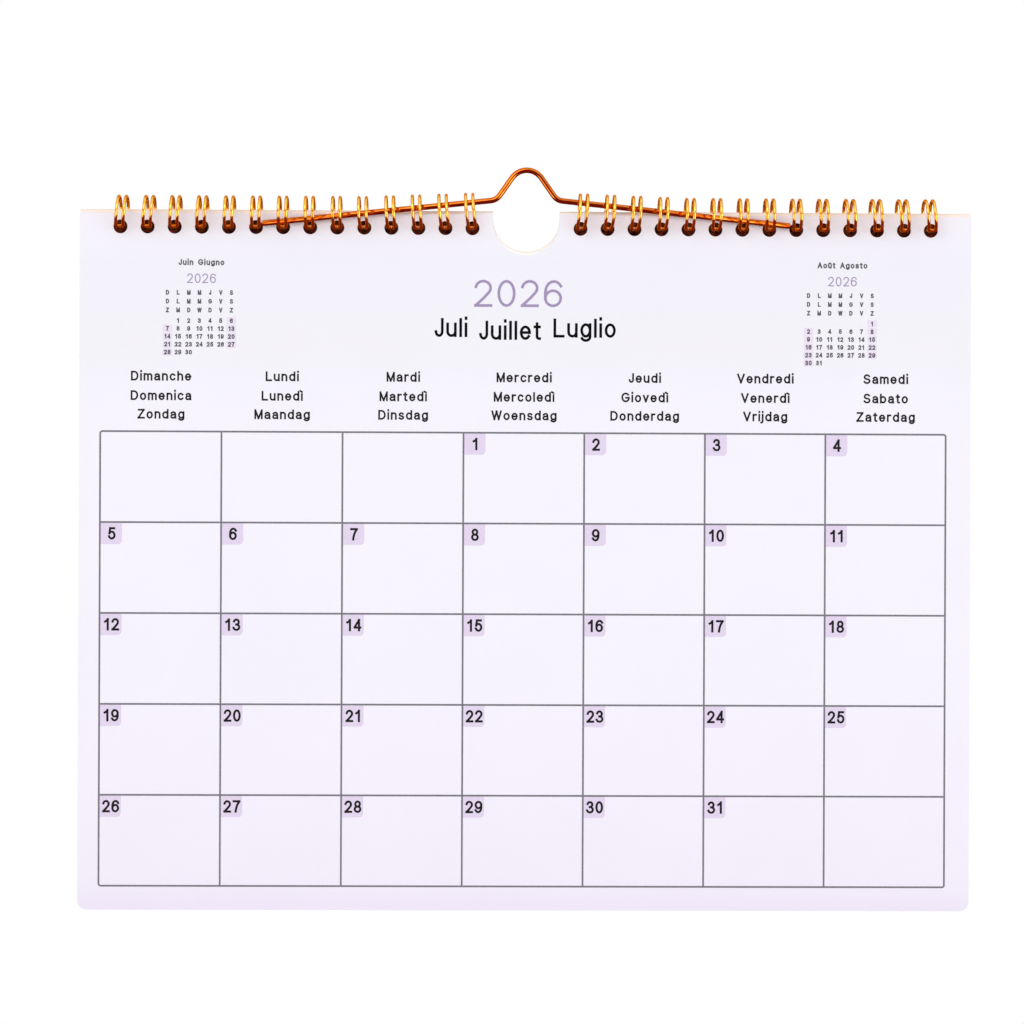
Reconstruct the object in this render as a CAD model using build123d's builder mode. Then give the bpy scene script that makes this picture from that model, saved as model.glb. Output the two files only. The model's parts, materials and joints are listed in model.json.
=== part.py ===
"""Wire-bound wall calendar: leaves and a back board held by two twin-loop wires, with a bent wire hanger.

+X runs along the binding, +Z is up and the printed side faces -Y. The origin is where the hook carries the
hanger, under the top of its hump. All lengths are in millimetres and all angles in degrees.
"""

import os
from math import cos, degrees, hypot, radians, sin, sqrt, tan

from build123d import *

# Sheets
page_width = 279.4
page_height = 218.0
page_corner_radius = 3.0
pages_thickness = 2.0
board_thickness = 0.6
thumb_notch_radius = 10.45
thumb_notch_depth = 12.7

# Punched row: it fills the sheet's width, but for its ends and three positions over the thumb notch
hole_pitch = 8.467
hole_diameter = 4.4
hole_drop = 4.3
row_end_margin = 10.0
free_positions = 3

# Binding wire: each hole takes one double loop, a hairpin that narrows to a tip behind the back board
wire_diameter = 1.0
loop_radius = 5.0
strand_spacing = 2.3
tip_spacing = 1.25
link_bend_radius = 1.4
tip_gap = 0.25

# Hanger: two sloping arms inside the loops and a hump between them
hanger_diameter = 1.8
hanger_loops = 8
hump_height = 13.3
hump_top_radius = 5.6
hump_flank_angle = 55.0
hump_foot_radius = 4.0
hanger_end_chamfer = 0.3
hanger_leaf_clearance = 0.3
hanger_loop_clearance = 0.2
hanger_end_clearance = 0.4

# Sides and chords that stand for round wire, loops and holes
wire_sides = 6
strand_chords = 10
taper_chords = 1
straight_tip_chords = 2
tip_chords = 3
hole_sides = 8
hanger_sides = 8


def even_radius(radius, chord_angle):
    """Corner radius of a chorded round that encloses as much as the true one."""
    return radius * sqrt(radians(chord_angle) / sin(radians(chord_angle)))


def row_height(depth):
    """Height at which the loops pass through a sheet at this depth behind their axis."""
    return loop_axis_height - sqrt(loop_radius**2 - depth**2)


# Places that follow from the sizes: depths run back from the loops' axis, heights up from the hook
hanger_radius = hanger_diameter / 2
wire_radius = wire_diameter / 2
loop_axis_height = hanger_radius - hump_height
front_depth = hanger_radius + hanger_leaf_clearance
board_front_depth = front_depth + pages_thickness
board_middle_depth = board_front_depth + board_thickness / 2
first_loop_place = hole_pitch * (free_positions + 1) / 2
loops_per_wire = int((page_width / 2 - row_end_margin - first_loop_place) / hole_pitch) + 1
loop_places = [first_loop_place + hole_pitch * step for step in range(loops_per_wire)]
hole_places = [side * place for place in loop_places for side in (-1, 1)]


def sheet(depth, row):
    """One sheet's face at this depth, with its punched row at this height."""
    top = hole_drop
    with BuildSketch(Plane((0, depth, row), x_dir=(1, 0, 0), z_dir=(0, -1, 0))) as face:
        with Locations((0, top - page_height / 2)):
            Rectangle(page_width, page_height)
        fillet(face.vertices().group_by(Axis.Z)[0], radius=page_corner_radius)
        with Locations((0, top - thumb_notch_depth + thumb_notch_radius)):
            Circle(thumb_notch_radius, mode=Mode.SUBTRACT)
            Rectangle(
                2 * thumb_notch_radius,
                thumb_notch_depth,
                align=(Align.CENTER, Align.MIN),
                mode=Mode.SUBTRACT,
            )
        with Locations(*[(place, 0) for place in hole_places]):
            RegularPolygon(even_radius(hole_diameter / 2, 360 / hole_sides), hole_sides, mode=Mode.SUBTRACT)
    return face.sketch


# Leaves: each lies a little higher than the one in front, as the round loops lift it
leaves_rise = row_height(board_front_depth) - row_height(front_depth)
with BuildPart() as pages:
    leaf = sheet(front_depth, row_height(front_depth))
    extrude(leaf, amount=hypot(pages_thickness, leaves_rise), dir=(0, pages_thickness, leaves_rise))
pages.part.label = "pages"

# Back board: one stiff card behind the leaves
with BuildPart() as back_board:
    card = sheet(board_front_depth, row_height(board_middle_depth))
    extrude(card, amount=-board_thickness)
back_board.part.label = "back_board"


# Binding wires: angles run from the back, up over the top and down the front
closure_length = link_bend_radius + tip_gap + tip_spacing / 2
closure_angle = degrees(closure_length / loop_radius)
root_angle = closure_angle / 2
strand_chord_angle = (360 - closure_angle) / strand_chords
strand_corner_radius = even_radius(loop_radius, strand_chord_angle)


def around(angle, offset, along=0):
    """A point of the loops at this angle, moved along X by offset and along the loop's own run."""
    depth = strand_corner_radius * cos(radians(angle)) - along * sin(radians(angle))
    height = strand_corner_radius * sin(radians(angle)) + along * cos(radians(angle))
    return Vector(offset, depth, loop_axis_height + height)


def half_spacing(step):
    """Half the distance between a hairpin's strands after this many chords: they close in towards the tip."""
    taper_start = strand_chords - straight_tip_chords - taper_chords
    narrowed_share = min(max((step - taper_start) / taper_chords, 0), 1)
    return (strand_spacing + (tip_spacing - strand_spacing) * narrowed_share) / 2


def double_loop(place):
    """Corners of one hairpin: up from the back link, round to the tip and back the same way."""
    steps = range(strand_chords + 1)
    strand = [(root_angle + strand_chord_angle * step, half_spacing(step)) for step in steps]
    turns = [radians(180 * step / tip_chords) for step in range(1, tip_chords)]
    tip_radius = tip_spacing / 2
    there = [around(angle, place - half) for angle, half in strand]
    tip = [around(-root_angle, place - tip_radius * cos(turn), tip_radius * sin(turn)) for turn in turns]
    back = [around(angle, place + half) for angle, half in reversed(strand)]
    return there + tip + back


def back_link(place):
    """Corners of the link from one hairpin to the next."""
    bend_start = strand_spacing / 2 + link_bend_radius
    return [
        around(root_angle, place + bend_start, -link_bend_radius),
        around(root_angle, place + hole_pitch - bend_start, -link_bend_radius),
    ]


def binding_wire(places):
    """One continuous wire: a hairpin for each place, with a link between neighbours."""
    corners = []
    for place in places[:-1]:
        corners += double_loop(place) + back_link(place)
    corners += double_loop(places[-1])
    with BuildPart() as wire:
        with BuildLine() as route:
            Polyline(*corners)
        with BuildSketch(Plane(corners[0], x_dir=(1, 0, 0), z_dir=corners[1] - corners[0])):
            RegularPolygon(even_radius(wire_radius, 360 / wire_sides), wire_sides)
        sweep(path=route.wire(), transition=Transition.RIGHT)
    return wire.part


right_binding_wire = binding_wire(loop_places)
right_binding_wire.label = "right_binding_wire"
left_binding_wire = binding_wire([-place for place in reversed(loop_places)])
left_binding_wire.label = "left_binding_wire"

# Hanger: each arm runs from the top of the innermost loop down to the bottom of the last one it passes
strand_reach = strand_spacing / 2 + even_radius(wire_radius, 360 / wire_sides)
loop_clear_radius = strand_corner_radius * cos(radians(strand_chord_angle / 2)) - wire_radius
hanger_corner_radius = even_radius(hanger_radius, 360 / hanger_sides)
arm_drop = loop_clear_radius - hanger_corner_radius - hanger_loop_clearance
arm_start = loop_places[0] - strand_reach
arm_finish = loop_places[hanger_loops - 1] + strand_reach
hanger_half_span = loop_places[hanger_loops] - strand_reach - hanger_end_clearance
arm_slope = 2 * arm_drop / (arm_finish - arm_start)


def arm_height(place):
    """Height of an arm's middle line at this distance from the hook."""
    return loop_axis_height + arm_drop - arm_slope * (place - arm_start)


hump_flank_slope = tan(radians(hump_flank_angle))
hump_cut = hump_top_radius * (1 / cos(radians(hump_flank_angle)) - 1)
hump_corner_height = loop_axis_height + hump_height + hump_cut
hump_half_width = (hump_corner_height - arm_height(0)) / (hump_flank_slope - arm_slope)
hump_foot_height = arm_height(hump_half_width)
with BuildPart() as hanger:
    with BuildLine(Plane.XZ) as bend:
        FilletPolyline(
            (-hanger_half_span, arm_height(hanger_half_span)),
            (-hump_half_width, hump_foot_height),
            (0, hump_corner_height),
            (hump_half_width, hump_foot_height),
            (hanger_half_span, arm_height(hanger_half_span)),
            radius=[hump_foot_radius, hump_top_radius, hump_foot_radius],
        )
    with BuildSketch(Plane(bend.wire() @ 0, x_dir=(0, 1, 0), z_dir=bend.wire() % 0)):
        RegularPolygon(hanger_corner_radius, hanger_sides, rotation=180 / hanger_sides)
    sweep(path=bend.wire())
    ends = hanger.faces().filter_by(GeomType.PLANE).sort_by(Axis.X)
    chamfer([ends[0].edges(), ends[-1].edges()], length=hanger_end_chamfer)
hanger.part.label = "hanger"

os.makedirs("parts", exist_ok=True)
for piece in (pages.part, back_board.part, left_binding_wire, right_binding_wire, hanger.part):
    export_step(piece, f"parts/{piece.label}.step")
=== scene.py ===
"""Looks of the wire-bound wall calendar: round wires, single leaves, the printed month and a plain studio.

All lengths are in metres and all angles in radians, in the part's own frame: +X runs along the binding, +Z is
up and the printed side faces -Y.
"""

import json
import random
from collections import namedtuple
from math import atan, cos, pi, radians, sin, sqrt, tan

import bmesh
import bpy
from mathutils import Matrix, Vector

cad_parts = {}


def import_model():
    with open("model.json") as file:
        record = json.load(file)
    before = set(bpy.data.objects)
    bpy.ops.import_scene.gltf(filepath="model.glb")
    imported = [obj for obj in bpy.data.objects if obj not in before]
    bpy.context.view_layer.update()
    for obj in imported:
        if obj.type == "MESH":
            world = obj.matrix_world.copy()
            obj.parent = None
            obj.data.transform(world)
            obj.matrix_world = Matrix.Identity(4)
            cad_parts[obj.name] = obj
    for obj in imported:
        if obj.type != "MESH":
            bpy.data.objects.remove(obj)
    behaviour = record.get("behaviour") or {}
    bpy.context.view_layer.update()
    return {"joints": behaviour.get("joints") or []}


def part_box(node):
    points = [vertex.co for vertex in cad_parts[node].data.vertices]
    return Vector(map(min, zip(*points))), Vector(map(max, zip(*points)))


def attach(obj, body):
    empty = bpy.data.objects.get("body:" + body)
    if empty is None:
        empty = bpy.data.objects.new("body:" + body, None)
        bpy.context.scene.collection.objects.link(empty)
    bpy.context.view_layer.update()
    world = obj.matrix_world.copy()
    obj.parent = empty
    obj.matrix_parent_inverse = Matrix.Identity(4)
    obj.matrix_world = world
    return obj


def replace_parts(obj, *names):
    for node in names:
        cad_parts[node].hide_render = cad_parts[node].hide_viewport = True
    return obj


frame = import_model()

MM = 0.001

# Sheets, as in the part's source
PAGE_HEIGHT = 218.0 * MM
CORNER_RADIUS = 3.0 * MM
NOTCH_RADIUS = 10.45 * MM
NOTCH_DEPTH = 12.7 * MM
HOLE_PITCH = 8.467 * MM
HOLE_RADIUS = 2.2 * MM
HOLE_DROP = 4.3 * MM
LOOPS_PER_WIRE = 14
FREE_POSITIONS = 3
HOLE_STEPS = 24
CORNER_STEPS = 8
NOTCH_STEPS = 40

# Single leaves: those behind the first are a little narrower, with holes out of line to stop the light
LEAF_COUNT = 13
LEAF_GAP_SHARE = 0.12
EDGE_PLAY = 0.25 * MM
HOLE_PLAYS = [(0.0, 1.5 * MM), (0.0, -1.5 * MM), (0.95 * MM, 0.0), (-0.95 * MM, 0.0)]

# Binding wires, as in the part's source, but that the tips are narrower, so that the holes look dark
WIRE_RADIUS = 0.5 * MM
LOOP_RADIUS = 5.0 * MM
STRAND_SPACING = 2.3 * MM
TIP_SPACING = 1.03 * MM
LINK_BEND_RADIUS = 1.4 * MM
TIP_GAP = 0.25 * MM
TAPER_SHARES = (0.7, 0.8)
STRAND_STEPS = 48
BEND_STEPS = 6
WIRE_SIDES = 12

# Lean of the loops along the row, and their lift: from the notch outwards, the lift over this share of a wire
LOOP_PLAY = 0.1 * MM
INNER_LEAN = 1.0 * MM
OUTER_LEAN = -0.95 * MM
INNER_LIFT = 0.6 * MM
OUTER_LIFT = -0.6 * MM
LIFT_SHARE = 0.3

# Hanger, as in the part's source, but a hair lower; the arms' drop is worked out there
HANGER_RADIUS = 0.9 * MM
HANGER_LOOPS = 8
ARM_DROP = 3.28 * MM
HUMP_HEIGHT = 13.27 * MM
HUMP_TOP_RADIUS = 5.6 * MM
HUMP_FLANK_ANGLE = radians(55)
HUMP_FOOT_RADIUS = 4.0 * MM
HANGER_END_ROUND = 0.3 * MM
HANGER_SIDES = 20
FILLET_STEPS = 14

# Print: places run from the page's middle and down from the front leaf's top edge
INK_THICKNESS = 0.02 * MM
INK_LAYERS = 5
TINT_THICKNESS = 0.01 * MM
GRID_CENTRE = -0.56 * MM
GRID_HALF_WIDTH = 132.5 * MM
GRID_TOP = 68.35 * MM
ROW_HEIGHT = 28.43 * MM
COLUMNS = 7
ROWS = 5
LINE_WIDTH = 0.55 * MM
GRID_CORNER_RADIUS = 0.7 * MM
CHIP_WIDTH = 6.9 * MM
CHIP_HEIGHT = 6.9 * MM
CHIP_CORNER_RADIUS = 1.3 * MM
DATE_CENTRE = 3.7 * MM
DATE_BASELINE = 5.5 * MM
WEEKDAY_BASELINES = [52.5 * MM, 58.6 * MM, 64.4 * MM]
FIRST_DAY_COLUMN = 3
DAYS = 31
YEAR = "2026"
YEAR_CENTRE = -2.55 * MM
YEAR_BASELINE = 28.9 * MM
MONTH_NAMES = [
    ("Juli", -23.55 * MM, 38.4 * MM),
    ("Juillet", -5.05 * MM, 39.2 * MM),
    ("Luglio", 18.35 * MM, 38.4 * MM),
]
WEEKDAYS = [
    ("Dimanche", "Domenica", "Zondag"),
    ("Lundi", "Lunedì", "Maandag"),
    ("Mardi", "Martedì", "Dinsdag"),
    ("Mercredi", "Mercoledì", "Woensdag"),
    ("Jeudi", "Giovedì", "Donderdag"),
    ("Vendredi", "Venerdì", "Vrijdag"),
    ("Samedi", "Sabato", "Zaterdag"),
]

# Small calendars of the months before and after: side, centre, names, first day's column and days
SMALL_COLUMN_SHIFT = -0.6 * MM
SMALL_PITCH = 3.33 * MM
SMALL_NAME_BASELINE = 16.3 * MM
SMALL_YEAR_BASELINE = 21.9 * MM
SMALL_LETTER_BASELINES = [25.6 * MM, 28.35 * MM, 31.1 * MM]
SMALL_DATE_BASELINE = 34.4 * MM
SMALL_ROW_PITCH = 2.47 * MM
SMALL_CHIP_WIDTH = 3.0 * MM
SMALL_CHIP_HEIGHT = 2.3 * MM
SMALL_CHIP_CORNER_RADIUS = 0.4 * MM
SMALL_MONTHS = [
    ("left", -101.65 * MM, "Juin Giugno", 1, 30),
    ("right", 99.25 * MM, "Août Agosto", 6, 31),
]

# Type: the capitals' height, shares of it for the strokes' weight and the gap, and the signs' stretch
Style = namedtuple("Style", "cap_height weight gap stretch")
YEAR_TYPE = Style(8.5 * MM, 0.1, 0.19, 1.17)
MONTH_TYPE = Style(5.95 * MM, 0.142, 0.138, 1.08)
WEEKDAY_TYPE = Style(3.05 * MM, 0.18, 0.17, 1.2)
DATE_TYPE = Style(3.9 * MM, 0.175, 0.12, 1.0)
SMALL_NAME_TYPE = Style(1.9 * MM, 0.21, 0.15, 1.15)
SMALL_YEAR_TYPE = Style(3.0 * MM, 0.11, 0.18, 1.05)
SMALL_TYPE = Style(1.5 * MM, 0.23, 0.1, 1.0)
BOW_STEP = 18
FEWEST_BOW_STEPS = 3
CLOSING_SHARE = 0.1

# Grain of the finishes: grains to the metre, and the noise's detail
CLOUDS = (30, 4)
FIBRES = (2600, 5)
CARD_TOOTH = (1400, 6)
# Patches of the painted shade round the holes
HOLE_SHADE_PATCHES = (900, 3)
WIRE_PATCHES = (420, 3)
DRAWING_MARKS = (5200, 4)
INK_GRAIN = (1900, 4)
FLOOR_GRAIN = (60, 3)

# Relief of the finishes: strength and depth
LEAF_RELIEF = (0.12, 0.02 * MM)
CARD_RELIEF = (0.25, 0.03 * MM)
WIRE_RELIEF = (0.05, 0.01 * MM)

# Roughness, sheen and shades of the finishes
PAPER_ROUGHNESS = (0.5, 0.62)
WIRE_ROUGHNESS = (0.09, 0.21)
INK_ROUGHNESS = (0.42, 0.58)
FLOOR_ROUGHNESS = 0.7
PAPER_SHEEN = 0.35
INK_SHEEN = 0.2
TITLE_INK_SHEEN = 0.05
LEAF_CLOUD_SHADE = 0.985
CARD_CLOUD_SHADE = 0.96
# Tones along the leaf's height, foot to top edge: painted shade, darker and pinker, at the foot, and painted
# light, warmer and lighter, at the wires to offset their shadow
LEAF_TONES_AND_SHADE = [
    (0.0, (238, 230, 248)),
    (0.05, (243, 237, 251)),
    (0.3, (245, 241, 253)),
    (0.5, (245, 242, 253)),
    (0.68, (245, 242, 253)),
    (0.82, (241, 240, 246)),
    (0.93, (240, 239, 249)),
    (0.97, (243, 241, 251)),
    (1.0, (246, 241, 251)),
]
# Painted shade round the holes: full at the first radius, none at the second
HOLE_SHADE_RADII = (1.2 * HOLE_RADIUS, 1.6 * HOLE_RADIUS)
NOTCH_TONE_RADII = (1.3 * NOTCH_RADIUS, 2.4 * NOTCH_RADIUS)
BACKWARD = 0.5

# Camera: the photograph's place, nearly straight in front of the leaves
CAMERA_DISTANCE = 0.85
CAMERA_PLACE = -4.2 * MM
CAMERA_HEIGHT = -106.1 * MM
VIEW_WIDTH = 320.9 * MM
CAMERA_TURN = radians(-0.84)
CAMERA_ROLL = radians(0.23)

# Lamps: name, place, aim, size, power and the rays that they are hidden from
PAGE_MIDDLE = (0, 0, -0.12)
HOOK = (0, 0, 0)
LAMPS = [
    ("key", (-0.45, -1.1, 0.55), PAGE_MIDDLE, 0.9, 5, None),
    ("fill", (0.8, -0.9, 0.1), PAGE_MIDDLE, 0.8, 2, None),
    ("right_kicker", (1.2, -0.94, -0.45), HOOK, 1.0, 11, "diffuse"),
    ("left_kicker", (-1.2, -0.94, -0.45), HOOK, 1.0, 7, "diffuse"),
    ("back", (0.5, 1.1, 0.3), PAGE_MIDDLE, 0.9, 5, "glossy"),
]

# Glowing cards that only the metal's gloss sees, painted reflections in dark red and orange for the wires:
# name, profile in depth and height, and glow
CARD_HALF_WIDTH = 4.0
PAINTED_REFLECTION_CARDS = [
    (
        "lower_reflection_card",
        [(-1.6, 0.7), (-1.3, -0.9), (0.2, -1.2), (1.0, -0.8), (1.2, -0.1)],
        (0.2, 0.022, 0.008, 1),
    ),
    ("rear_reflection_card", [(0.5, 1.2), (1.0, 0.5), (1.2, -0.1)], (0.7, 0.32, 0.08, 1)),
]

# Floor and even light
FLOOR_DROP = 0.45
FLOOR_RADIUS = 0.7
FLOOR_FADE_RADIUS = 0.2
FLOOR_SIDES = 96
AMBIENT = 0.72

random.seed(7)

pages_low, pages_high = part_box("pages")
board_low, board_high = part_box("back_board")
page_half = pages_high.x
front = pages_low.y
loop_axis = frame["joints"][0]["pos_m"][2]
first_place = HOLE_PITCH * (FREE_POSITIONS + 1) / 2
loop_places = [first_place + HOLE_PITCH * step for step in range(LOOPS_PER_WIRE)]
hole_places = [side * place for place in loop_places for side in (-1, 1)]


def row_height(depth):
    """Height at which the loops pass through a sheet at this depth behind their axis."""
    return loop_axis - sqrt(LOOP_RADIUS**2 - depth**2)


front_row = row_height(front)
front_top = front_row + HOLE_DROP
leaves_rise = (row_height(pages_high.y) - front_row) / (pages_high.y - front)


def arc(centre, radius, start, finish, steps):
    """Points of an arc in the sheets' plane, both ends included."""
    angles = [start + (finish - start) * step / steps for step in range(steps + 1)]
    return [(centre[0] + radius * cos(angle), centre[1] + radius * sin(angle)) for angle in angles]


def upright(ahead, behind):
    """Turns a flat shape of unit thickness upright, between these two depths."""
    return Matrix((
        (1, 0, 0, 0),
        (0, 0, ahead - behind, (ahead + behind) / 2),
        (0, 1, 0, 0),
        (0, 0, 0, 1),
    ))


def poly_spline(curve, places):
    """A run of straight steps through places, added to a curve."""
    spline = curve.splines.new("POLY")
    spline.points.add(len(places) - 1)
    for point, place in zip(spline.points, places):
        point.co = (*place, 1)
    return spline


def curve_mesh(curve, matrix=Matrix()):
    """The mesh of a curve, moved by a matrix."""
    carrier = bpy.data.objects.new("carrier", curve)
    mesh = bpy.data.meshes.new_from_object(carrier)
    mesh.transform(matrix)
    bpy.data.objects.remove(carrier)
    bpy.data.curves.remove(curve)
    return mesh


def flat_mesh(outlines, ahead, behind):
    """A mesh filled between closed outlines, where an outline inside another is a hole."""
    curve = bpy.data.curves.new("flat", "CURVE")
    curve.dimensions = "2D"
    curve.fill_mode = "BOTH"
    curve.extrude = 0.5
    for outline in outlines:
        poly_spline(curve, [(x, z, 0) for x, z in outline]).use_cyclic_u = True
    return curve_mesh(curve, upright(ahead, behind))


def tube(name, points, radius, sides, end_round=0.0):
    """A round wire along points."""
    curve = bpy.data.curves.new(name, "CURVE")
    curve.dimensions = "3D"
    curve.bevel_depth = radius
    curve.bevel_resolution = sides // 2 - 2
    curve.use_fill_caps = True
    if end_round:
        first, last = Vector(points[0]), Vector(points[-1])
        second = first + (Vector(points[1]) - first).normalized() * end_round
        second_last = last + (Vector(points[-2]) - last).normalized() * end_round
        points = [first, second, *points[1:-1], second_last, last]
    spline = poly_spline(curve, points)
    if end_round:
        for end in (spline.points[0], spline.points[-1]):
            end.radius = 1 - end_round / radius
    return curve_mesh(curve)


def joined(meshes):
    """One mesh made of several."""
    whole = bmesh.new()
    for mesh in meshes:
        whole.from_mesh(mesh)
        bpy.data.meshes.remove(mesh)
    mesh = bpy.data.meshes.new("joined")
    whole.to_mesh(mesh)
    whole.free()
    return mesh


def placed(name, data):
    """An object of this mesh, lamp or lens, put into the scene."""
    obj = bpy.data.objects.new(name, data)
    bpy.context.scene.collection.objects.link(obj)
    return obj


def piece(name, mesh, material, body, smooth=False):
    """A piece of the object that rides on a body and takes its finish from a slot."""
    mesh.name = name
    mesh.materials.clear()
    mesh.materials.append(material)
    mesh.polygons.foreach_set("use_smooth", [smooth] * len(mesh.polygons))
    obj = placed(name, mesh)
    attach(obj, body)
    return obj


def colour(red, green, blue):
    """A screen colour, 0 to 255, as the shader takes it."""
    shares = [value / 255 for value in (red, green, blue)]
    linear = [share / 12.92 if share <= 0.04045 else ((share + 0.055) / 1.055) ** 2.4 for share in shares]
    return (*linear, 1)


class Finish:
    """A node material under construction."""

    def __init__(self, name):
        self.material = bpy.data.materials.new(name)
        self.material.use_nodes = True
        self.tree = self.material.node_tree
        self.shader = self.tree.nodes["Principled BSDF"]

    def add(self, kind, inputs=None, **settings):
        """A node with settings, whose inputs are values or other nodes' outputs."""
        node = self.tree.nodes.new(kind)
        for name, value in settings.items():
            setattr(node, name, value)
        for key, value in (inputs or {}).items():
            self.put(node.inputs[key], value)
        return node

    def put(self, socket, value):
        """Sets a socket's value, or links it to an output."""
        if isinstance(value, bpy.types.NodeSocket):
            self.tree.links.new(value, socket)
        else:
            socket.default_value = value

    def set(self, **inputs):
        """Values or outputs for the shader's sockets, named with underscores for spaces."""
        for key, value in inputs.items():
            self.put(self.shader.inputs[key.replace("_", " ")], value)
        return self.material

    def math(self, operation, *values):
        """The result of a math node."""
        return self.add("ShaderNodeMath", dict(enumerate(values)), operation=operation).outputs[0]

    def length(self, across, up):
        """The length of the slope between two sides."""
        squares = self.math("ADD", self.math("POWER", across, 2), self.math("POWER", up, 2))
        return self.math("SQRT", squares)

    def coordinate(self, kind="Object"):
        """The point's own place on the object, in metres, or another coordinate."""
        return self.add("ShaderNodeTexCoord").outputs[kind]

    def axes(self, kind="Object"):
        """A coordinate's three parts."""
        return self.add("ShaderNodeSeparateXYZ", {"Vector": self.coordinate(kind)}).outputs

    def noise(self, scale, detail):
        """Noise of about this many grains to the metre."""
        inputs = {"Vector": self.coordinate(), "Scale": scale, "Detail": detail}
        return self.add("ShaderNodeTexNoise", inputs).outputs["Fac"]

    def ramp(self, factor, *stops):
        """Colours along a factor."""
        node = self.add("ShaderNodeValToRGB", {"Fac": factor})
        elements = node.color_ramp.elements
        while len(elements) < len(stops):
            elements.new(1)
        for element, (position, tone) in zip(elements, stops):
            element.position = position
            element.color = tone
        return node.outputs["Color"]

    def mix(self, factor, first, second, **settings):
        """Two colours mixed by a factor."""
        inputs = {"Factor": factor, "A": first, "B": second}
        return self.add("ShaderNodeMix", inputs, data_type="RGBA", **settings).outputs["Result"]

    def scaled(self, value, low, high, start=0.0, finish=1.0, **settings):
        """A value between start and finish, spread between low and high."""
        inputs = {"Value": value, "From Min": start, "From Max": finish, "To Min": low, "To Max": high}
        return self.add("ShaderNodeMapRange", inputs, **settings).outputs["Result"]

    def bump(self, height, strength, distance):
        """Relief for the shader's normal."""
        inputs = {"Height": height, "Strength": strength, "Distance": distance}
        return self.add("ShaderNodeBump", inputs).outputs["Normal"]


def leaf_tone(finish):
    """Lavender white, greyer round the titles; painted light makes it warmer and lighter at the wires,
    offsetting their shadow, and painted shade makes it darker and pinker at the foot.
    """
    _, _, height = finish.axes()
    share = finish.scaled(height, 0, 1, front_top - PAGE_HEIGHT, front_top)
    return finish.ramp(share, *[(place, colour(*tone)) for place, tone in LEAF_TONES_AND_SHADE])


def rear_tone(finish):
    """Cream, but white round the notch."""
    x, _, z = finish.axes()
    distance = finish.length(x, finish.math("SUBTRACT", front_top, z))
    share = finish.scaled(distance, 0, 1, *NOTCH_TONE_RADII)
    return finish.ramp(share, (0, colour(254, 252, 251)), (1, colour(254, 242, 234)))


def board_tone(_):
    """Plain cream."""
    return colour(247, 232, 219)


def paper(name, tone, cloud_shade, tooth, relief):
    """Smooth matt paper or card with faint clouds and fibres; the tone is a function of the finish."""
    finish = Finish(name)
    cloud = (cloud_shade, cloud_shade, cloud_shade, 1)
    clouds = finish.ramp(finish.noise(*CLOUDS), (0.3, cloud), (0.7, (1, 1, 1, 1)))
    finish.set(
        Base_Color=finish.mix(1.0, tone(finish), clouds, blend_type="MULTIPLY"),
        Roughness=finish.scaled(finish.noise(*FIBRES), *PAPER_ROUGHNESS),
        Normal=finish.bump(finish.noise(*tooth), *relief),
        Specular_IOR_Level=PAPER_SHEEN,
    )
    return finish


def hole_share(finish):
    """Share of the painted shade: 1 at the punched holes' edges and 0 a little way out, on sheets that rise
    towards the back.
    """
    x, y, z = finish.axes()
    across = finish.math("ABSOLUTE", x)
    beside = finish.math("PINGPONG", finish.math("SUBTRACT", across, first_place), HOLE_PITCH / 2)
    row = finish.math("MULTIPLY_ADD", y, leaves_rise, front_row - front * leaves_rise)
    distance = finish.length(beside, finish.math("SUBTRACT", z, row))
    near = finish.scaled(distance, 1, 0, *HOLE_SHADE_RADII, interpolation_type="SMOOTHSTEP")
    return finish.math("MULTIPLY", near, finish.math("GREATER_THAN", across, first_place - HOLE_PITCH / 2))


def shaded_at_holes(finish):
    """Paints dark brown shade round a sheet's holes, but not on its back: painted shade where little light
    gets in.
    """
    plain = finish.shader.inputs["Base Color"].links[0].from_socket
    patches = finish.noise(*HOLE_SHADE_PATCHES)
    # Painted shade: dark brown patches round the holes, where little light gets in
    painted_shade = finish.ramp(patches, (0.35, colour(30, 6, 2)), (0.65, colour(96, 38, 20)))
    _, facing, _ = finish.axes("Normal")
    share = finish.math("MULTIPLY", hole_share(finish), finish.math("LESS_THAN", facing, BACKWARD))
    return finish.set(
        Base_Color=finish.mix(share, plain, painted_shade),
        Specular_IOR_Level=finish.scaled(share, PAPER_SHEEN, 0),
    )


def metal(name, bright, deep):
    """Plated wire with fine drawing marks and a little uneven colour."""
    finish = Finish(name)
    marks = finish.noise(*DRAWING_MARKS)
    return finish.set(
        Base_Color=finish.ramp(finish.noise(*WIRE_PATCHES), (0.3, deep), (0.7, bright)),
        Roughness=finish.scaled(marks, *WIRE_ROUGHNESS),
        Normal=finish.bump(marks, *WIRE_RELIEF),
        Metallic=1.0,
    )


def ink(name, solid, thin, sheen=INK_SHEEN):
    """Printing ink that covers a little unevenly."""
    finish = Finish(name)
    grain = finish.noise(*INK_GRAIN)
    return finish.set(
        Base_Color=finish.ramp(grain, (0.35, solid), (0.75, thin)),
        Roughness=finish.scaled(grain, *INK_ROUGHNESS),
        Specular_IOR_Level=sheen,
    )


leaf_paper = paper("leaf_paper", leaf_tone, LEAF_CLOUD_SHADE, FIBRES, LEAF_RELIEF).material
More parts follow.
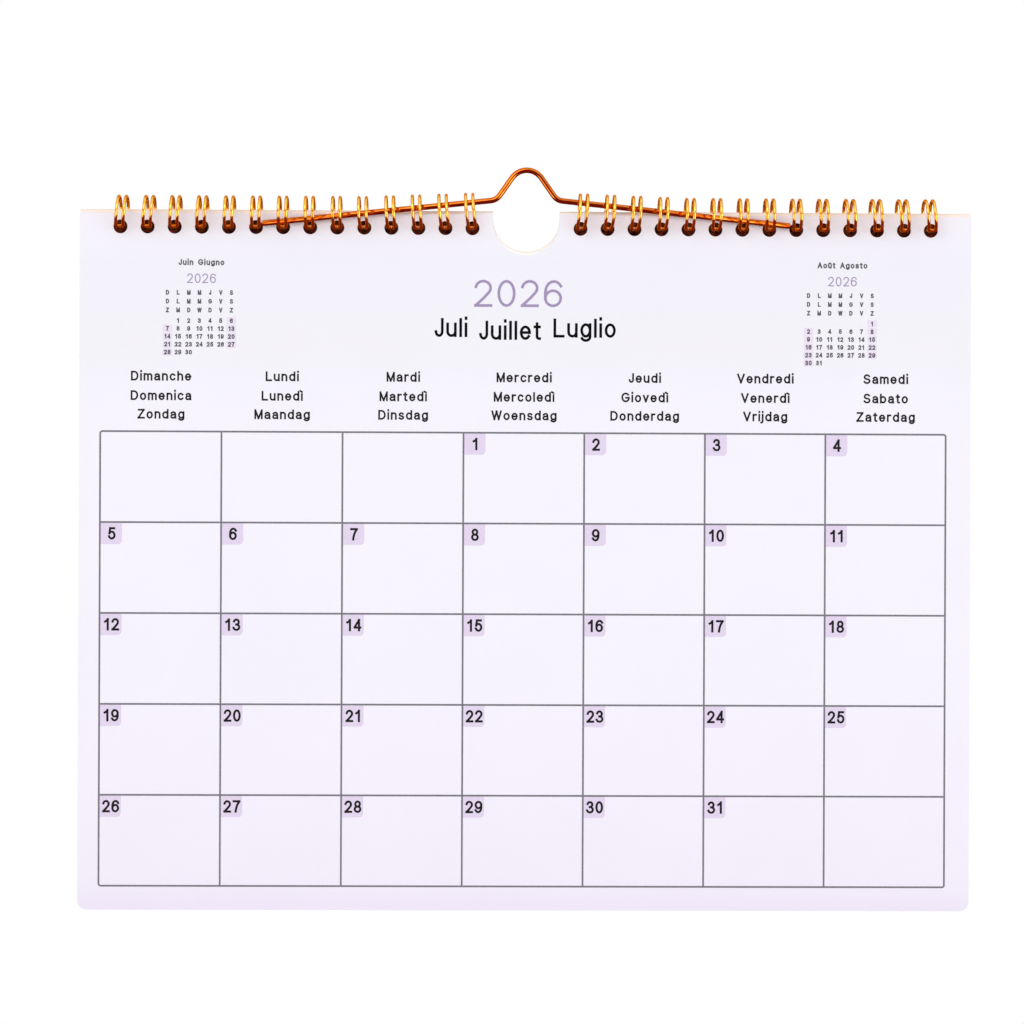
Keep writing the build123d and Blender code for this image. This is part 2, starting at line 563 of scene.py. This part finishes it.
# The rear leaves and the back card have painted shade round their holes
rear_paper = shaded_at_holes(paper("rear_paper", rear_tone, LEAF_CLOUD_SHADE, FIBRES, LEAF_RELIEF))
board_card = shaded_at_holes(paper("board_card", board_tone, CARD_CLOUD_SHADE, CARD_TOOTH, CARD_RELIEF))
binding_gold = metal("binding_gold", colour(254, 212, 94), colour(246, 182, 66))
hanger_gold = metal("hanger_gold", colour(228, 132, 44), colour(204, 96, 24))
title_ink = ink("title_ink", colour(6, 6, 8), colour(16, 16, 18), TITLE_INK_SHEEN)
black_ink = ink("black_ink", colour(14, 14, 16), colour(30, 30, 34))
line_ink = ink("line_ink", colour(112, 110, 118), colour(132, 130, 138))
grey_ink = ink("grey_ink", colour(84, 82, 90), colour(104, 102, 110))
lavender_ink = ink("lavender_ink", colour(156, 138, 178), colour(172, 155, 192))
lavender_tint = ink("lavender_tint", colour(224, 210, 235), colour(230, 217, 240))
pale_tint = ink("pale_tint", colour(232, 220, 239), colour(237, 227, 243))


def sheet_outlines(row, inset=0.0, hole_play=(0.0, 0.0)):
    """A sheet's outline with its notch, and its punched holes, for a row at this height."""
    half = page_half - inset
    top = row + HOLE_DROP
    corner_height = top - PAGE_HEIGHT + CORNER_RADIUS
    notch_height = top - NOTCH_DEPTH + NOTCH_RADIUS
    outline = [
        *arc((CORNER_RADIUS - half, corner_height), CORNER_RADIUS, pi, 1.5 * pi, CORNER_STEPS),
        *arc((half - CORNER_RADIUS, corner_height), CORNER_RADIUS, 1.5 * pi, 2 * pi, CORNER_STEPS),
        (half, top),
        (NOTCH_RADIUS, top),
        *arc((0, notch_height), NOTCH_RADIUS, 0, -pi, NOTCH_STEPS),
        (-NOTCH_RADIUS, top),
        (-half, top),
    ]
    turn = 2 * pi / HOLE_STEPS
    aside, up = hole_play
    holes = [
        arc((place + aside, row + up), HOLE_RADIUS, 0, 2 * pi - turn, HOLE_STEPS - 1) for place in hole_places
    ]
    return [outline, *holes]


def leaves():
    """The front leaf, and the stack of leaves behind it that the round loops lift one by one."""
    pitch = (pages_high.y - front) / LEAF_COUNT
    sheets = []
    for number in range(LEAF_COUNT):
        ahead = front + pitch * number
        behind = ahead + pitch * (1 - LEAF_GAP_SHARE)
        plays = [EDGE_PLAY * random.random(), HOLE_PLAYS[number % len(HOLE_PLAYS)]] if number else []
        sheets.append(flat_mesh(sheet_outlines(row_height(ahead), *plays), ahead, behind))
    front_leaf = piece("front_leaf", sheets[0], leaf_paper, "calendar")
    rear_leaves = piece("rear_leaves", joined(sheets[1:]), rear_paper, "calendar")
    for obj in (front_leaf, rear_leaves):
        obj.visible_glossy = False
        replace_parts(obj, "pages")


def back_card():
    """The stiff card behind the leaves."""
    row = board_high.z - HOLE_DROP
    mesh = flat_mesh(sheet_outlines(row), board_low.y, board_high.y)
    board = piece("back_card", mesh, board_card, "calendar")
    board.visible_glossy = False
    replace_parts(board, "back_board")


closure_angle = (LINK_BEND_RADIUS + TIP_GAP + TIP_SPACING / 2) / LOOP_RADIUS
root_angle = closure_angle / 2


def around(angle, offset, along=0.0):
    """A point of the loops at this angle from the back, moved along X and along the loop's own run."""
    depth = LOOP_RADIUS * cos(angle) - along * sin(angle)
    height = LOOP_RADIUS * sin(angle) + along * cos(angle)
    return Vector((offset, depth, loop_axis + height))


def strand(place, side):
    """One strand of a hairpin, from its root at the back over the top and the front to its tip."""
    points = []
    for step in range(STRAND_STEPS + 1):
        run = step / STRAND_STEPS
        taper = min(max((run - TAPER_SHARES[0]) / (TAPER_SHARES[1] - TAPER_SHARES[0]), 0), 1)
        eased = taper * taper * (3 - 2 * taper)
        half = (STRAND_SPACING + (TIP_SPACING - STRAND_SPACING) * eased) / 2
        points.append(around(root_angle + (2 * pi - closure_angle) * run, place + side * half))
    return points


def hairpin(place):
    """One double loop: up from its root, round to the tip and back the same way."""
    turns = [pi * step / (2 * BEND_STEPS) for step in range(1, 2 * BEND_STEPS)]
    radius = TIP_SPACING / 2
    tip = [around(-root_angle, place - radius * cos(turn), radius * sin(turn)) for turn in turns]
    return strand(place, -1) + tip + strand(place, 1)[::-1]


def link_bend(place, side):
    """The bend from a strand's root into the link beside it."""
    turns = [pi / 2 * step / BEND_STEPS for step in range(1, BEND_STEPS + 1)]
    root = place + side * STRAND_SPACING / 2
    return [
        around(root_angle, root + side * LINK_BEND_RADIUS * (1 - cos(turn)), -LINK_BEND_RADIUS * sin(turn))
        for turn in turns
    ]


def settled(points, place):
    """A loop's points, leaned along the row and lifted, the more the higher they are."""
    outward = (abs(place) - loop_places[0]) / (loop_places[-1] - loop_places[0])
    lean = (INNER_LEAN + (OUTER_LEAN - INNER_LEAN) * outward) * (1 if place > 0 else -1)
    lift = INNER_LIFT + (OUTER_LIFT - INNER_LIFT) * min(outward / LIFT_SHARE, 1)
    for point in points:
        up = (point.z - loop_axis + LOOP_RADIUS) / (2 * LOOP_RADIUS)
        point.x += lean * (1 - (1 - up) ** 2)
        point.z += lift * up
    return points


def binding_wire(node, name, places):
    """One continuous wire: a hairpin through each hole, with links between neighbours behind the board."""
    route = []
    for place in places:
        shifted = place + LOOP_PLAY * random.uniform(-1, 1)
        points = hairpin(shifted)
        if place != places[0]:
            points = link_bend(shifted, -1)[::-1] + points
        if place != places[-1]:
            points += link_bend(shifted, 1)
        route += settled(points, place)
    mesh = tube(name, route, WIRE_RADIUS, WIRE_SIDES)
    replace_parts(piece(name, mesh, binding_gold, "calendar", smooth=True), node)


def filleted(corners, radii):
    """A route in the hanger's plane through corners, with an arc at each inner one."""
    route = [Vector(corners[0])]
    for before, corner, after, radius in zip(corners, corners[1:], corners[2:], radii):
        corner = Vector(corner)
        back = (Vector(before) - corner).normalized()
        on = (Vector(after) - corner).normalized()
        half_turn = back.angle(on) / 2
        start = corner + back * (radius / tan(half_turn))
        centre = corner + (back + on).normalized() * (radius / sin(half_turn))
        sweep = pi - 2 * half_turn
        turned = (start - centre).angle_signed(corner + on * (radius / tan(half_turn)) - centre)
        for step in range(FILLET_STEPS + 1):
            angle = -sweep * step / FILLET_STEPS * (1 if turned > 0 else -1)
            route.append(centre + Matrix.Rotation(angle, 2) @ (start - centre))
    route.append(Vector(corners[-1]))
    return route


def hanger():
    """The bent wire that hangs on a hook: sloping arms inside the loops and a hump between them."""
    half_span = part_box("hanger")[1].x
    strand_reach = STRAND_SPACING / 2 + WIRE_RADIUS
    arm_start = loop_places[0] - strand_reach
    arm_finish = loop_places[HANGER_LOOPS - 1] + strand_reach
    slope = 2 * ARM_DROP / (arm_finish - arm_start)
    arm_middle = loop_axis + ARM_DROP + slope * arm_start
    arm_end = arm_middle - slope * half_span
    hump_corner = loop_axis + HUMP_HEIGHT + HUMP_TOP_RADIUS * (1 / cos(HUMP_FLANK_ANGLE) - 1)
    foot = (hump_corner - arm_middle) / (tan(HUMP_FLANK_ANGLE) - slope)
    foot_height = arm_middle - slope * foot
    corners = [
        (-half_span, arm_end),
        (-foot, foot_height),
        (0, hump_corner),
        (foot, foot_height),
        (half_span, arm_end),
    ]
    route = filleted(corners, [HUMP_FOOT_RADIUS, HUMP_TOP_RADIUS, HUMP_FOOT_RADIUS])
    points = [Vector((x, 0, z)) for x, z in route]
    mesh = tube("hanger_wire", points, HANGER_RADIUS, HANGER_SIDES, HANGER_END_ROUND)
    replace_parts(piece("hanger_wire", mesh, hanger_gold, "hanger", smooth=True), "hanger")


def printed(name, mesh, material):
    """A piece of print on the front leaf."""
    piece(name, mesh, material, "calendar")


def rounded_box(left, right, top, bottom, radii):
    """A box's outline, with its corners' radii from lower left, anticlockwise."""
    outline = []
    corners = [(left, bottom, 1, 1), (right, bottom, -1, 1), (right, top, -1, -1), (left, top, 1, -1)]
    for number, ((x, z, inward, upward), radius) in enumerate(zip(corners, radii)):
        if radius:
            start = pi + number * pi / 2
            centre = (x + inward * radius, z + upward * radius)
            outline += arc(centre, radius, start, start + pi / 2, CORNER_STEPS)
        else:
            outline.append((x, z))
    return outline


column_width = 2 * GRID_HALF_WIDTH / COLUMNS
grid_left = GRID_CENTRE - GRID_HALF_WIDTH
grid_top_height = front_top - GRID_TOP


def cell_corner(column, row):
    """The upper left corner of a cell, in the middle of the lines."""
    return grid_left + column * column_width, grid_top_height - row * ROW_HEIGHT


def month_grid():
    """The month's lines, as one field with the cells left open."""
    left, top = cell_corner(0, 0)
    right, bottom = cell_corner(COLUMNS, ROWS)
    edge = LINE_WIDTH / 2
    frame_radii = [GRID_CORNER_RADIUS + edge] * 4
    outlines = [rounded_box(left - edge, right + edge, top + edge, bottom - edge, frame_radii)]
    end_cells = ((0, ROWS - 1), (COLUMNS - 1, ROWS - 1), (COLUMNS - 1, 0), (0, 0))
    for row in range(ROWS):
        for column in range(COLUMNS):
            x, z = cell_corner(column, row)
            radii = [GRID_CORNER_RADIUS - edge if (column, row) == end else 0 for end in end_cells]
            outlines.append(
                rounded_box(x + edge, x + column_width - edge, z - edge, z - ROW_HEIGHT + edge, radii)
            )
    printed("month_grid", flat_mesh(outlines, front - INK_THICKNESS, front), line_ink)


def dated_cells():
    """Each day of the month with its cell's upper left corner."""
    for day in range(1, DAYS + 1):
        row, column = divmod(FIRST_DAY_COLUMN + day - 1, COLUMNS)
        yield day, *cell_corner(column, row)


def date_chips():
    """The tinted corner behind each date."""
    edge = LINE_WIDTH / 2
    radii = [0, CHIP_CORNER_RADIUS, 0, 0]
    outlines = [
        rounded_box(x + edge, x + CHIP_WIDTH, z - edge, z - CHIP_HEIGHT, radii) for _, x, z in dated_cells()
    ]
    printed("date_chips", flat_mesh(outlines, front - TINT_THICKNESS, front), lavender_tint)


def bow(x, y, across, up, start, finish):
    """A stroke along part of an oval, with its angles in degrees."""
    steps = max(FEWEST_BOW_STEPS, round(abs(finish - start) / BOW_STEP))
    angles = [radians(start + (finish - start) * step / steps) for step in range(steps + 1)]
    return [(x + across * cos(angle), y + up * sin(angle)) for angle in angles]


def sticks(*points):
    """Straight strokes from point to point."""
    return [[one, other] for one, other in zip(points, points[1:])]


BOWL = bow(0.24, 0.36, 0.24, 0.36, 0, 360)
ARCH = [(0, 0.4), *bow(0.22, 0.47, 0.22, 0.25, 170, 0), (0.44, 0)]
CUP = [(0, 0.72), *bow(0.22, 0.25, 0.22, 0.25, 180, 350), (0.44, 0.32)]
SIX = [bow(0.27, 0.31, 0.27, 0.31, 0, 360), [*bow(0.3, 0.55, 0.3, 0.45, 35, 180), (0, 0.31)]]
STEM = [(0, 0.72), (0, 0)]
TALL_STEM = [(0, 1), (0, 0)]
DOT = [(0, 1.05), (0, 1.1)]

# Strokes of a plain type: capitals are one high, and each sign has its width
TYPE = {
    "0": (0.54, [bow(0.27, 0.5, 0.27, 0.5, 0, 360)]),
    "1": (0.4, [[(0.3, 1), (0.3, 0)], [(0.28, 0.97), (0.2, 0.86), (0.04, 0.76)]]),
    "2": (0.54, [[*bow(0.27, 0.72, 0.26, 0.28, 170, -35), (0.3, 0.32), (0.02, 0.02)], [(0, 0), (0.54, 0)]]),
    "3": (0.54, [bow(0.26, 0.76, 0.23, 0.24, 165, -90), bow(0.26, 0.26, 0.28, 0.26, 90, -165)]),
    "4": (0.56, [*sticks((0.42, 1), (0, 0.3)), [(0, 0.26), (0.56, 0.26)], [(0.42, 1), (0.42, 0)]]),
    "5": (0.54, [*sticks((0.5, 1), (0.12, 1), (0.05, 0.5)), bow(0.27, 0.33, 0.27, 0.33, 140, -160)]),
    "6": (0.54, SIX),
    "7": (0.54, [[(0, 1), (0.54, 1)], [(0.54, 0.98), (0.36, 0.68), (0.25, 0.36), (0.19, 0)]]),
    "8": (0.54, [bow(0.27, 0.755, 0.22, 0.245, 0, 360), bow(0.27, 0.26, 0.27, 0.26, 0, 360)]),
    "9": (0.54, [[(0.54 - x, 1 - y) for x, y in stroke] for stroke in SIX]),
    "A": (0.64, [*sticks((0, 0), (0.32, 1), (0.64, 0)), [(0.12, 0.36), (0.52, 0.36)]]),
    "D": (0.6, [TALL_STEM, [(0, 1), *bow(0.26, 0.5, 0.34, 0.5, 90, -90), (0, 0)]]),
    "G": (0.7, [[*bow(0.36, 0.5, 0.36, 0.5, 42, 335), (0.7, 0.46)], [(0.7, 0.46), (0.4, 0.46)]]),
    "J": (0.36, [[(0.36, 1), *bow(0.18, 0.27, 0.18, 0.27, 0, -175)]]),
    "L": (0.48, [TALL_STEM, [(0, 0), (0.48, 0)]]),
    "M": (0.68, [*sticks((0, 0), (0, 1), (0.34, 0), (0.68, 1), (0.68, 0))]),
    "S": (0.56, [bow(0.28, 0.75, 0.25, 0.25, 25, 270), bow(0.28, 0.25, 0.28, 0.25, 90, -160)]),
    "V": (0.62, sticks((0, 1), (0.31, 0), (0.62, 1))),
    "W": (0.9, sticks((0, 1), (0.225, 0), (0.45, 1), (0.675, 0), (0.9, 1))),
    "Z": (0.58, sticks((0.02, 1), (0.56, 1), (0, 0), (0.58, 0))),
    "a": (0.46, [
        [*bow(0.23, 0.5, 0.21, 0.22, 155, 0), (0.44, 0.12), (0.46, 0)],
        [(0.44, 0.43), (0.2, 0.39), *bow(0.18, 0.195, 0.18, 0.195, 100, 270), (0.3, 0.03), (0.44, 0.18)],
    ]),
    "b": (0.48, [TALL_STEM, BOWL]),
    "c": (0.44, [bow(0.24, 0.36, 0.24, 0.36, 40, 320)]),
    "d": (0.48, [[(0.48, 1), (0.48, 0)], BOWL]),
    "e": (0.48, [[(0, 0.37), (0.48, 0.37)], bow(0.24, 0.36, 0.24, 0.36, 0, 322)]),
    "g": (0.48, [BOWL, [(0.48, 0.72), *bow(0.24, -0.03, 0.24, 0.23, 0, -155)]]),
    "h": (0.44, [TALL_STEM, ARCH]),
    "i": (0, [STEM, DOT]),
    "ì": (0, [STEM, [(-0.16, 1.12), (0, 1.0)]]),
    "j": (0, [[(0, 0.72), *bow(-0.13, -0.12, 0.13, 0.14, 0, -100)], DOT]),
    "l": (0, [TALL_STEM]),
    "m": (0.74, [
        STEM,
        [(0, 0.4), *bow(0.185, 0.5, 0.185, 0.22, 170, 0), (0.37, 0)],
        [(0.37, 0.4), *bow(0.555, 0.5, 0.185, 0.22, 170, 0), (0.74, 0)],
    ]),
    "n": (0.44, [STEM, ARCH]),
    "o": (0.48, [BOWL]),
    "r": (0.26, [STEM, [(0, 0.4), *bow(0.22, 0.45, 0.22, 0.27, 170, 75)]]),
    "s": (0.42, [bow(0.21, 0.54, 0.19, 0.18, 30, 270), bow(0.21, 0.18, 0.21, 0.18, 90, -155)]),
    "t": (0.26, [[(0.12, 0.92), *bow(0.24, 0.12, 0.12, 0.12, 180, 285)], [(0, 0.72), (0.26, 0.72)]]),
    "u": (0.44, [CUP, [(0.44, 0.72), (0.44, 0)]]),
    "û": (0.44, [CUP, [(0.44, 0.72), (0.44, 0)], *sticks((0.08, 0.88), (0.22, 1.02), (0.36, 0.88))]),
    "v": (0.44, sticks((0, 0.72), (0.22, 0), (0.44, 0.72))),
    " ": (0.3, []),
}


def ribbon(stroke, width):
    """The two edges of a stroke of this width, with square ends."""
    middle = [Vector(point) for point in stroke]
    closed = (middle[0] - middle[-1]).length < CLOSING_SHARE * width
    runs = [(after - before).normalized() for before, after in zip(middle, middle[1:])]
    if closed:
        ways = [runs[-1] + runs[0], *(one + other for one, other in zip(runs, runs[1:])), runs[-1] + runs[0]]
    else:
        ways = [runs[0], *(one + other for one, other in zip(runs, runs[1:])), runs[-1]]
        middle[0] = middle[0] - runs[0] * (width / 2)
        middle[-1] = middle[-1] + runs[-1] * (width / 2)
    sides = [Vector((-way.y, way.x)).normalized() * (width / 2) for way in ways]
    left = [point + side for point, side in zip(middle, sides)]
    right = [point - side for point, side in zip(middle, sides)]
    return left, right


def lettering(text, centre, baseline, style):
    """Strokes of a centred word or number, whose baseline is this far below the front leaf's top edge."""
    cap_height, weight, gap, stretch = style
    high = 1 - weight
    wide = high * stretch
    along = 0.0
    strokes = []
    for sign in text:
        sign_width, sign_strokes = TYPE[sign]
        for stroke in sign_strokes:
            moved = [(along + weight / 2 + x * wide, weight / 2 + y * high) for x, y in stroke]
            strokes.append(ribbon(moved, weight))
        along += sign_width * wide + weight + gap
    start = centre - (along - gap) / 2 * cap_height
    foot = front_top - baseline
    return [
        [[(start + point.x * cap_height, foot + point.y * cap_height) for point in edge] for edge in stroke]
        for stroke in strokes
    ]


def stroke_mesh(strokes):
    """Thin solid strokes of ink on the front leaf, at depths that differ where strokes cross."""
    corners = []
    faces = []
    for number, (left, right) in enumerate(strokes):
        count = len(left)
        start = len(corners)
        ahead = front - INK_THICKNESS * (1 + number % INK_LAYERS / INK_LAYERS)
        for edge in (left, right):
            corners += [(x, ahead, z) for x, z in edge]
            corners += [(x, front, z) for x, z in edge]
        ahead_left, back_left, ahead_right, back_right = (start + count * run for run in range(4))
        for step in range(count - 1):
            for one, other in (
                (ahead_left, ahead_right),
                (back_right, back_left),
                (back_left, ahead_left),
                (ahead_right, back_right),
            ):
                faces.append((one + step, other + step, other + step + 1, one + step + 1))
        faces.append((ahead_left, back_left, back_right, ahead_right))
        last = count - 1
        faces.append((ahead_right + last, back_right + last, back_left + last, ahead_left + last))
    mesh = bpy.data.meshes.new("strokes")
    mesh.from_pydata(corners, [], faces)
    return mesh


def month_words():
    """The year, the month's name, the weekdays' names and the dates."""
    year = lettering(YEAR, YEAR_CENTRE, YEAR_BASELINE, YEAR_TYPE)
    printed("year_number", stroke_mesh(year), lavender_ink)
    titles = []
    for word, centre, baseline in MONTH_NAMES:
        titles += lettering(word, centre, baseline, MONTH_TYPE)
    printed("month_names", stroke_mesh(titles), title_ink)
    words = []
    for column, names in enumerate(WEEKDAYS):
        centre = grid_left + (column + 0.5) * column_width
        for word, baseline in zip(names, WEEKDAY_BASELINES):
            words += lettering(word, centre, baseline, WEEKDAY_TYPE)
    printed("weekday_names", stroke_mesh(words), black_ink)
    dates = []
    for day, x, z in dated_cells():
        baseline = front_top - z + DATE_BASELINE
        dates += lettering(str(day), x + DATE_CENTRE, baseline, DATE_TYPE)
    printed("date_numbers", stroke_mesh(dates), black_ink)


def small_chip(x, z):
    """The tinted field behind a weekend's date in a small calendar."""
    half_width, half_height = SMALL_CHIP_WIDTH / 2, SMALL_CHIP_HEIGHT / 2
    radii = [SMALL_CHIP_CORNER_RADIUS] * 4
    return rounded_box(x - half_width, x + half_width, z + half_height, z - half_height, radii)


def small_month(side, centre, name, first_column, days):
    """A small calendar of the month before or after."""
    left = centre + SMALL_COLUMN_SHIFT - SMALL_PITCH * (COLUMNS - 1) / 2
    words = lettering(name, centre, SMALL_NAME_BASELINE, SMALL_NAME_TYPE)
    for language, baseline in enumerate(SMALL_LETTER_BASELINES):
        for column, names in enumerate(WEEKDAYS):
            letter = names[language][0]
            words += lettering(letter, left + column * SMALL_PITCH, baseline, SMALL_TYPE)
    chips = []
    for day in range(1, days + 1):
        row, column = divmod(first_column + day - 1, COLUMNS)
        x = left + column * SMALL_PITCH
        baseline = SMALL_DATE_BASELINE + row * SMALL_ROW_PITCH
        words += lettering(str(day), x, baseline, SMALL_TYPE)
        if column in (0, COLUMNS - 1):
            chips.append(small_chip(x, front_top - baseline + SMALL_TYPE.cap_height / 2))
    printed(f"{side}_small_month", stroke_mesh(words), grey_ink)
    printed(f"{side}_small_chips", flat_mesh(chips, front - TINT_THICKNESS, front), pale_tint)
    year = lettering(YEAR, centre, SMALL_YEAR_BASELINE, SMALL_YEAR_TYPE)
    printed(f"{side}_small_year", stroke_mesh(year), lavender_ink)


def world():
    """Even studio light, and plain white for what the camera, gloss and glass see."""
    sky = bpy.data.worlds.new("studio")
    bpy.context.scene.world = sky
    sky.use_nodes = True
    tree = sky.node_tree
    path = tree.nodes.new("ShaderNodeLightPath")
    seen = path.outputs["Is Camera Ray"]
    for other in ("Is Glossy Ray", "Is Transmission Ray"):
        either = tree.nodes.new("ShaderNodeMath")
        either.operation = "MAXIMUM"
        tree.links.new(seen, either.inputs[0])
        tree.links.new(path.outputs[other], either.inputs[1])
        seen = either.outputs[0]
    level = tree.nodes.new("ShaderNodeMapRange")
    level.inputs["To Min"].default_value = AMBIENT
    level.inputs["To Max"].default_value = 1
    tree.links.new(seen, level.inputs["Value"])
    background = tree.nodes["Background"]
    background.inputs["Color"].default_value = (1, 1, 1, 1)
    tree.links.new(level.outputs["Result"], background.inputs["Strength"])


def lamp(name, place, aim, size, power, hidden_from):
    """A soft square lamp that faces a point."""
    light = bpy.data.lights.new(name, "AREA")
    light.size = size
    light.energy = power
    obj = placed(name, light)
    obj.location = place
    obj.rotation_euler = (Vector(aim) - Vector(place)).to_track_quat("-Z", "Y").to_euler()
    if hidden_from:
        setattr(obj, f"visible_{hidden_from}", False)


def gloss_card(name, profile, glow):
    """A wide bent glowing card that only the metal's gloss sees: a painted reflection for the wires."""
    material = bpy.data.materials.new(name)
    material.use_nodes = True
    tree = material.node_tree
    tree.nodes.clear()
    # Painted reflection: a glow that stands in for the surroundings that the wires reflect
    emission = tree.nodes.new("ShaderNodeEmission")
    emission.inputs["Color"].default_value = glow
    output = tree.nodes.new("ShaderNodeOutputMaterial")
    tree.links.new(emission.outputs["Emission"], output.inputs["Surface"])
    corners = [(side * CARD_HALF_WIDTH, y, z) for y, z in profile for side in (-1, 1)]
    faces = [(2 * step, 2 * step + 1, 2 * step + 3, 2 * step + 2) for step in range(len(profile) - 1)]
    mesh = bpy.data.meshes.new(name)
    mesh.from_pydata(corners, [], faces)
    mesh.materials.append(material)
    obj = placed(name, mesh)
    obj.visible_camera = False
    obj.visible_diffuse = False
    obj.visible_shadow = False
    obj.visible_transmission = False


def floor():
    """A pale round floor some way under the hanging calendar, which fades out towards its rim."""
    finish = Finish("floor_paint")
    x, y, _ = finish.axes()
    grain = finish.noise(*FLOOR_GRAIN)
    finish.set(
        Base_Color=finish.ramp(grain, (0.3, colour(246, 246, 246)), (0.7, colour(250, 250, 250))),
        Roughness=FLOOR_ROUGHNESS,
        Alpha=finish.scaled(finish.length(x, y), 1, 0, FLOOR_FADE_RADIUS, FLOOR_RADIUS),
    )
    shape = bmesh.new()
    bmesh.ops.create_circle(shape, cap_ends=True, radius=FLOOR_RADIUS, segments=FLOOR_SIDES)
    mesh = bpy.data.meshes.new("floor")
    shape.to_mesh(mesh)
    shape.free()
    mesh.materials.append(finish.material)
    obj = placed("floor", mesh)
    obj.location = (0, 0, -FLOOR_DROP)
    obj.visible_glossy = False


def camera():
    """The photograph's view."""
    lens = bpy.data.cameras.new("camera")
    lens.angle = 2 * atan(VIEW_WIDTH / 2 / CAMERA_DISTANCE)
    obj = placed("camera", lens)
    obj.matrix_world = (
        Matrix.Translation((CAMERA_PLACE, front, CAMERA_HEIGHT))
        @ Matrix.Rotation(CAMERA_TURN, 4, "Z")
        @ Matrix.Translation((0, -CAMERA_DISTANCE, 0))
        @ Matrix.Rotation(pi / 2, 4, "X")
        @ Matrix.Rotation(CAMERA_ROLL, 4, "Z")
    )
    bpy.context.scene.camera = obj


leaves()
back_card()
binding_wire("left_binding_wire", "left_wire", [-place for place in reversed(loop_places)])
binding_wire("right_binding_wire", "right_wire", loop_places)
hanger()
month_grid()
date_chips()
month_words()
for month in SMALL_MONTHS:
    small_month(*month)
world()
for setting in LAMPS:
    lamp(*setting)
for setting in PAINTED_REFLECTION_CARDS:
    gloss_card(*setting)
floor()
camera()
bpy.context.scene.view_settings.view_transform = "Standard"
